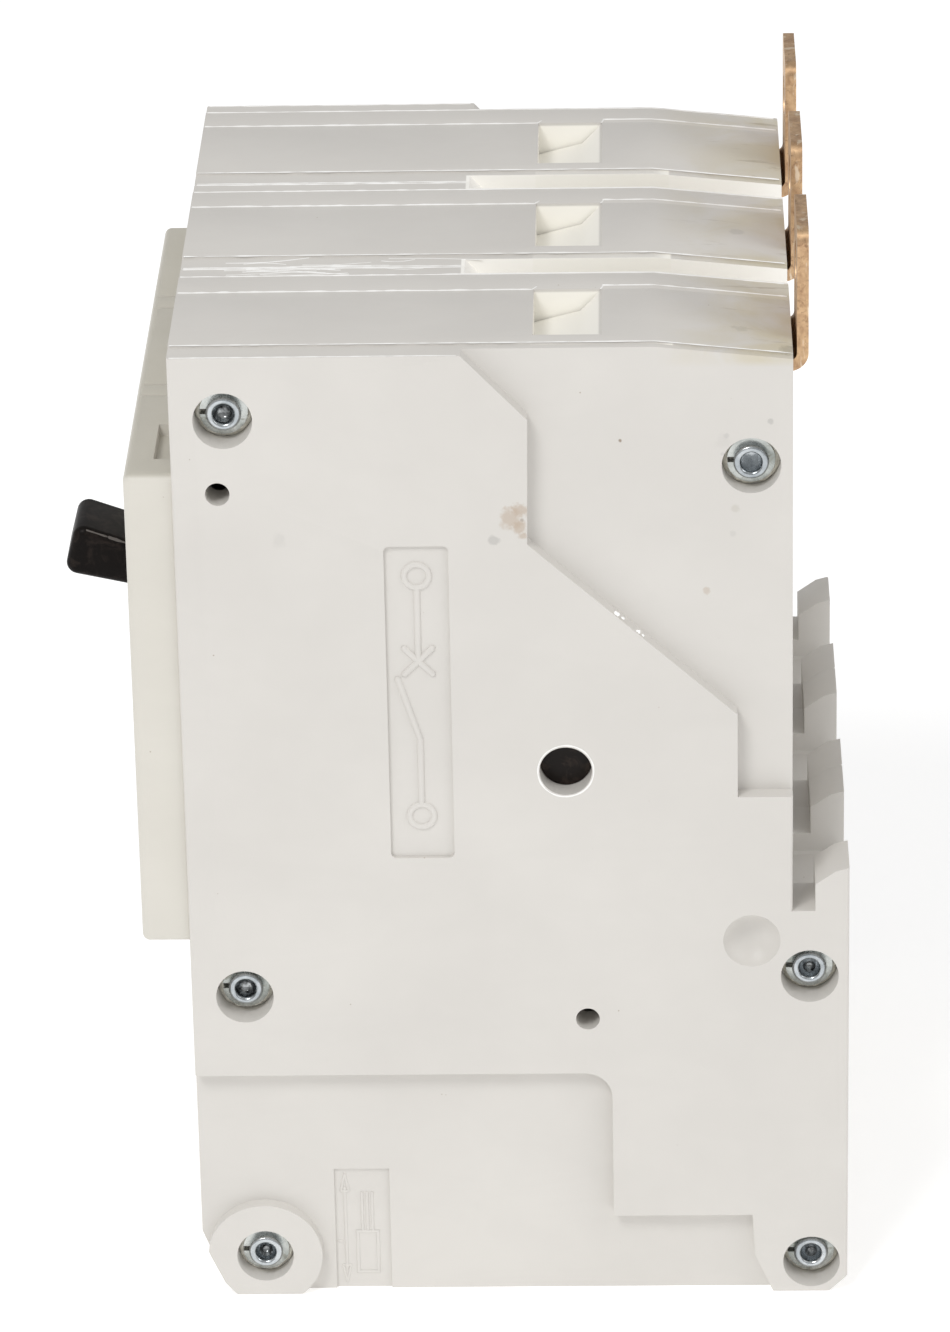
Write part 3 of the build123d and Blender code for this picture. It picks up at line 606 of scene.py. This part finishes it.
def on_front(x, up, tall):
    """Row position of a point on the front cover's face: x from the middle, up and height."""
    return Vector((x * MM, FRONT_FACE - tall * MM, CASE_TOP + up * MM))


def ring(centre, radius, count=28):
    """Points round a circle."""
    angles = [math.tau * index / count for index in range(count)]
    return [(centre[0] + radius * math.cos(angle), centre[1] + radius * math.sin(angle)) for angle in angles]


# Breaker symbol in the label panel: how far back its middle line is, its strokes as (back from that
# line, up), and the heights of its two terminals
SYMBOL_BACK = 25.05
SYMBOL_STROKES = [
    [(0.0, -26.2), (0.0, -34.6)],
    [(-1.5, -33.1), (1.5, -36.1)],
    [(1.5, -33.1), (-1.5, -36.1)],
    [(0.0, -43.6), (-2.2, -36.6)],
    [(0.0, -43.6), (0.0, -51.2)],
]
TERMINALS = (-24.9, -52.5)
TERMINAL_RADIUS = 1.3
STROKE_WIDTH, TERMINAL_WIDTH, SYMBOL_HEIGHT = 0.75, 0.7, 0.26
# Strip gauge: path, width and height of each line of its double arrow and of its wire strands
GAUGE_LINES = [
    ([(15.6, -98.0), (15.66, -108.0)], 0.38, 0.1),
    ([(15.2, -98.4), (15.63, -96.3)], 0.32, 0.1),
    ([(16.06, -98.4), (15.63, -96.3)], 0.32, 0.1),
    ([(15.25, -98.4), (16.0, -98.4)], 0.32, 0.1),
    ([(15.2, -107.6), (15.63, -109.7)], 0.32, 0.1),
    ([(16.06, -107.6), (15.63, -109.7)], 0.32, 0.1),
    ([(15.25, -107.6), (16.0, -107.6)], 0.32, 0.1),
    ([(14.8, -104.6), (15.2, -104.6)], 0.3, 0.1),
    ([(17.45, -98.6), (17.45, -103.2)], 0.36, 0.12),
    ([(18.0, -98.6), (18.0, -103.2)], 0.36, 0.12),
    ([(18.55, -98.6), (18.55, -103.2)], 0.36, 0.12),
]
# Corners of the wire's sleeve in the strip gauge
SLEEVE = [(16.9, -103.4), (19.1, -103.4), (19.1, -108.4), (16.9, -108.4)]
SLEEVE_WIDTH, SLEEVE_HEIGHT = 0.4, 0.13
# The I and the O on the front cover, as (x from the middle, up)
ON_STROKE = [(0, -31.4), (0, -28.2)]
OFF_CENTRE, OFF_RADIUS = (0, -57.4), 1.7
MARK_WIDTH, MARK_HEIGHT = 0.8, 0.22


def make_symbols():
    """Raised breaker symbol in the label panel, strip gauge, and the I and O by the toggle."""
    work = bmesh.new()
    place = on_side(LABEL_FLOOR)
    for stroke in SYMBOL_STROKES:
        path = [(SYMBOL_BACK + back, up) for back, up in stroke]
        bead_into(work, path, STROKE_WIDTH, SYMBOL_HEIGHT, place)
    for up in TERMINALS:
        terminal = ring((SYMBOL_BACK, up), TERMINAL_RADIUS)
        bead_into(work, terminal, TERMINAL_WIDTH, SYMBOL_HEIGHT, place, closed=True)
    finished("breaker_symbol", work, CASE)

    work = bmesh.new()
    place = on_side(GAUGE_FLOOR)
    for path, width, height in GAUGE_LINES:
        bead_into(work, path, width, height, place)
    bead_into(work, SLEEVE, SLEEVE_WIDTH, SLEEVE_HEIGHT, place, closed=True)
    finished("strip_gauge", work, CASE)

    work = bmesh.new()
    bead_into(work, ON_STROKE, MARK_WIDTH, MARK_HEIGHT, on_front)
    bead_into(work, ring(OFF_CENTRE, OFF_RADIUS), MARK_WIDTH, MARK_HEIGHT, on_front, closed=True)
    # The I and the O take the front's paler edge tone, a painted highlight
    finished("toggle_marks", work, FRONT_EDGE_HIGHLIGHT)


# Flash, near white as a painted highlight, on one pole's tops: x from its right face, start and end back,
# width, height and offset
FLASH_HIGHLIGHT_LINES = [
    (-0.2, 0.3, 29.6, 0.16, 0.05, -0.25),
    (-3.0, 0.2, 63.8, 0.14, 0.06, 0.0),
    (-17.8, 0.2, 37.2, 0.20, 0.10, 0.0),
    (-18.8, 44.6, 63.8, 0.18, 0.08, 0.0),
    (-22.4, 0.2, 63.6, 0.16, 0.07, 0.0),
    (-25.18, 0.3, 29.6, 0.2, 0.06, -0.25),
]
# Short flash that bends towards the vent scoop, in front of it and behind it, also a painted highlight
FLASH_HIGHLIGHT_BENDS = [[(-17.8, 37.2), (-18.6, 37.7)], [(-17.8, 44.4), (-18.8, 44.7)]]
BEND_WIDTH, BEND_HEIGHT = 0.16, 0.06
SHAFT_HOLE, RIM_RADIUS, RIM_POINTS = (40.26, -47.29), 2.95, 60
RIM_WIDTH, RIM_HEIGHT = 0.17, 0.025
SEED_STEP = 3.1


def make_flash_highlights():
    """Thin near-white ridges of moulding flash along the parting lines, the top edges and the shaft hole,
    whose pale tone paints highlights on these edges.
    """
    work = bmesh.new()
    seed = 1.0
    for pole in range(len(SIDES)):
        face = -pole * POLE_PITCH / MM
        for offset_x, start, end, width, height, lift in FLASH_HIGHLIGHT_LINES:
            x = face + offset_x
            path = [(x, start), (x, end)]
            if end > TOP_BEND:
                path.insert(1, (x, TOP_BEND))
            bead_into(work, path, width, height, on_top(lift), rough=0.9, seed=seed, step=0.5)
            seed += SEED_STEP
        for bend in FLASH_HIGHLIGHT_BENDS:
            path = [(face + x, back) for x, back in bend]
            bead_into(work, path, BEND_WIDTH, BEND_HEIGHT, on_top(), rough=0.5, seed=seed)
    rim, side = ring(SHAFT_HOLE, RIM_RADIUS, RIM_POINTS), on_side(CASE_RIGHT)
    bead_into(work, rim, RIM_WIDTH, RIM_HEIGHT, side, closed=True, rough=0.9, seed=seed, step=0.3)
    finished("parting_flash_highlights", work, FLASH_AND_HIGHLIGHT)


SCRATCH_SEED = 11
SCRATCHES = 16
SCRATCH_POINTS = 7
SCRATCH_OFFSET = -0.25
SCRATCH_HEIGHT, NICK_HEIGHT = 0.03, 0.025
# Least and most of each scratch's start back, distance in from the right face, length, lean, bow and width
SCRATCH_BACK, SCRATCH_IN, SCRATCH_LENGTH = (3, 22), (23.2, 27.9), (3.5, 11)
SCRATCH_LEAN, SCRATCH_BOW, SCRATCH_WIDTH = (-0.16, 0.16), (-0.5, 0.5), (0.07, 0.15)
# Back, up and size of each nick on the diagonal step
NICKS = [(45.8, -29.2, 0.32), (46.4, -29.75, 0.18), (48.0, -31.3, 0.26), (48.5, -31.7, 0.16)]


def make_scratches():
    """Whitened scratches over the joint of the right and middle poles, and nicks on the side's step."""
    work = bmesh.new()
    dice = random.Random(SCRATCH_SEED)
    for stroke in range(SCRATCHES):
        back, x = dice.uniform(*SCRATCH_BACK), -dice.uniform(*SCRATCH_IN)
        length, lean = dice.uniform(*SCRATCH_LENGTH), dice.uniform(*SCRATCH_LEAN)
        bow = dice.uniform(*SCRATCH_BOW)
        path = []
        for index in range(SCRATCH_POINTS):
            share = index / (SCRATCH_POINTS - 1)
            path.append((x + lean * length * share + bow * math.sin(math.pi * share), back + length * share))
        width = dice.uniform(*SCRATCH_WIDTH)
        floor = on_top(SCRATCH_OFFSET)
        bead_into(work, path, width, SCRATCH_HEIGHT, floor, rough=0.6, seed=stroke, step=0.5)
    for back, up, size in NICKS:
        # Six numbers are drawn for each nick, and the first two bend it in its middle
        draws = [dice.uniform(-0.5, 0.5) for _ in range(6)]
        bend = (back + size * draws[0], up + size * draws[1])
        path = [(back - size * 0.5, up + size * 0.5), bend, (back + size * 0.5, up - size * 0.5)]
        bead_into(work, path, size, NICK_HEIGHT, on_side(CASE_RIGHT), rough=0.8, seed=back, step=0.12)
    # The scratches take the near-white flash tone as whitened wear
    finished("scratches", work, FLASH_AND_HIGHLIGHT)


# Radius, rise and fray of the crushed plastic's rows, from the washer outwards
CRUSHED_ROWS = ((2.38, 0.42, 0.34), (2.58, 0.62, 0.30), (2.85, 0.30, 0.22), (3.02, 0.12, 0.12))
CRUSHED_POINTS = 60
RECESS_RADIUS = 3.05
LEAST_LIFT = 0.03
# Noise scale and reach of the ragged outline, and noise scale and share of the uneven height
RAG_SCALE, RAG_REACH = 3.3, 0.22
FRINGE_SCALE, FRINGE_SHARE = 5, 1.6


def make_crushed_rings():
    """Ragged plastic pushed up round each lock washer."""
    work = bmesh.new()
    for number, (back, up, depth) in enumerate(RIVETS):
        floor = CASE_RIGHT - depth * MM
        rows = []
        for way in ring((0, 0), 1.0, CRUSHED_POINTS):
            way = Vector(way)
            row = []
            for radius, rise, fray in CRUSHED_ROWS:
                rag = noise.noise((way * RAG_SCALE).to_3d() + Vector((0, 0, number * 5.0 + radius)))
                reach = min(RECESS_RADIUS, radius + RAG_REACH * rag)
                fringe = noise.noise((way * FRINGE_SCALE).to_3d() + Vector((0, 0, number + radius * 2)))
                lift = max(LEAST_LIFT, rise + fray * FRINGE_SHARE * fringe)
                row.append(work.verts.new(spot(back + way.x * reach, up + way.y * reach, floor + lift * MM)))
            rows.append(row)
        for row, following in zip(rows, rows[1:] + rows[:1]):
            bridge(work, row, following)
    finished("crushed_rings", work, CRUSHED)


# Size of the dark disc of painted shade in each rivet's mouth, in the order of the rivets; the second mouth
# has none
MOUTH_SHADE_SIZES = (1.0, 0.0, 1.0, 0.62, 0.7, 0.62)
# Radius and rise of the shade disc's rows, from the mouth's rim inwards
MOUTH_SHADE_ROWS = ((1.05, 0.45), (0.8, 0.05), (0.45, -0.2))
# The shade disc's zero height, from the floor of the rivet's recess
MOUTH_SHADE_LEVEL = 0.85


def make_mouth_shade():
    """Dark discs of painted shade in the mouths of the tie rivets, with shiny patches that catch glints."""
    work = bmesh.new()
    for (back, up, depth), size in zip(RIVETS, MOUTH_SHADE_SIZES):
        if not size:
            continue
        floor = CASE_RIGHT + (MOUTH_SHADE_LEVEL - depth) * MM
        rows = []
        for radius, rise in MOUTH_SHADE_ROWS:
            circle = ring((back, up), radius * size)
            rows.append([work.verts.new(spot(a, b, floor + rise * MM)) for a, b in circle])
        for outer, inner in zip(rows, rows[1:]):
            bridge(work, outer + outer[:1], inner + inner[:1])
        work.faces.new(rows[-1])
    finished("mouth_shade", work, MOUTH_SHADE)


# Back and up of the handle's upper edge at its foot and at its end, and its half width
HANDLE_FOOT, HANDLE_END = (-2.4, -37.1), (-13.24, -33.15)
HANDLE_HALF = 4.5
EDGE_INSET = 0.26
DIAGONAL = 0.7
# Start and end back, and width, of each pale stretch, rubbed wear with a painted highlight
RUB_AND_HIGHLIGHT_STRETCHES = ((-3.0, -6.1, 0.22), (-6.4, -9.6, 0.3), (-9.8, -12.0, 0.2))
RUB_HIGHLIGHT_HEIGHT = 0.05


def on_handle_edge(back, off, tall):
    """Row position on the bevel of the handle's upper edge, off its middle line and up from it."""
    slope = (HANDLE_FOOT[1] - HANDLE_END[1]) / (HANDLE_FOOT[0] - HANDLE_END[0])
    lean = EDGE_INSET - DIAGONAL * tall
    up = HANDLE_FOOT[1] + slope * (back - HANDLE_FOOT[0]) - lean - DIAGONAL * off
    return spot(back, up, (HANDLE_HALF - lean + DIAGONAL * off) * MM)


def make_handle_rub_and_highlight():
    """Pale line along the handle's upper edge on the side that faces right, rubbed wear with a painted
    highlight.
    """
    work = bmesh.new()
    for start, end, width in RUB_AND_HIGHLIGHT_STRETCHES:
        path = [(start, 0), (end, 0)]
        bead_into(work, path, width, RUB_HIGHLIGHT_HEIGHT, on_handle_edge, rough=0.9, seed=start, step=0.3)
    finished("handle_rub_and_highlight", work, HANDLE_RUB_AND_HIGHLIGHT, body="toggle")


make_symbols()
make_flash_highlights()
make_handle_rub_and_highlight()
make_mouth_shade()
make_scratches()
make_crushed_rings()


# ---------------------------------------------------------------- stage, light and camera

FLOOR_HALF = 3.0
FLOOR_GLOW = 0.34
WORLD_STRENGTH = 0.56
WHITE = (1, 1, 1, 1)
MIDDLE = Vector((0.0, 0.0, 0.06))


def make_floor():
    """Plain pale floor under the breaker."""
    mesh = bpy.data.meshes.new("floor")
    corners = [(FLOOR_HALF * x, FLOOR_HALF * y, 0) for x, y in ((-1, -1), (1, -1), (1, 1), (-1, 1))]
    mesh.from_pydata(corners, [], [(0, 1, 2, 3)])
    floor = bpy.data.objects.new("floor", mesh)
    bpy.context.scene.collection.objects.link(floor)
    shader = Shader("floor_paper")
    shader.colour(shader.mix(shader.noise(8, 2.0), (0.95, 0.95, 0.95), (0.96, 0.96, 0.96)))
    shader.set(Roughness=0.9, Emission_Strength=FLOOR_GLOW)
    shader.surface.inputs["Emission Color"].default_value = WHITE
    mesh.materials.append(shader.material)


def area_light(name, place, size, power):
    """Square soft box at a place, turned to the breaker's middle."""
    lamp = bpy.data.lights.new(name, "AREA")
    lamp.shape = "SQUARE"
    lamp.size = size
    lamp.energy = power
    light = bpy.data.objects.new(name, lamp)
    light.location = place
    light.rotation_euler = (MIDDLE - Vector(place)).to_track_quat("-Z", "Y").to_euler()
    bpy.context.scene.collection.objects.link(light)


make_floor()
area_light("key", place=(0.82, -0.46, 1.18), size=0.45, power=8.0)
area_light("rim", place=(0.45, 0.95, 0.75), size=0.5, power=2.2)

world = bpy.data.worlds.new("studio")
world.use_nodes = True
background = world.node_tree.nodes["Background"]
background.inputs["Color"].default_value = WHITE
background.inputs["Strength"].default_value = WORLD_STRENGTH
bpy.context.scene.world = world
bpy.context.scene.view_settings.view_transform = "Standard"

# The camera's place and lens, solved from the straight edges of the photographed case
AZIMUTH, ELEVATION, ROLL = math.radians(91.567), math.radians(24.60), math.radians(-1.166)
DISTANCE = 0.72664
TARGET = Vector((0.00092, 0.00209, 0.05823))
SENSOR_WIDTH, FOCAL_LENGTH = 36, 177.81
NEAREST, FARTHEST = 0.01, 20
camera_data = bpy.data.cameras.new("camera")
camera_data.sensor_width = SENSOR_WIDTH
camera_data.lens = FOCAL_LENGTH
camera_data.clip_start = NEAREST
camera_data.clip_end = FARTHEST
camera = bpy.data.objects.new("camera", camera_data)
towards_camera = Vector((
    math.sin(AZIMUTH) * math.cos(ELEVATION),
    -math.cos(AZIMUTH) * math.cos(ELEVATION),
    math.sin(ELEVATION),
))
camera.rotation_mode = "QUATERNION"
level = (-towards_camera).to_track_quat("-Z", "Y").to_matrix()
camera.rotation_quaternion = (level @ Matrix.Rotation(ROLL, 3, "Z")).to_quaternion()
camera.location = TARGET + towards_camera * DISTANCE
bpy.context.scene.collection.objects.link(camera)
bpy.context.scene.camera = camera

bpy.context.view_layer.update()
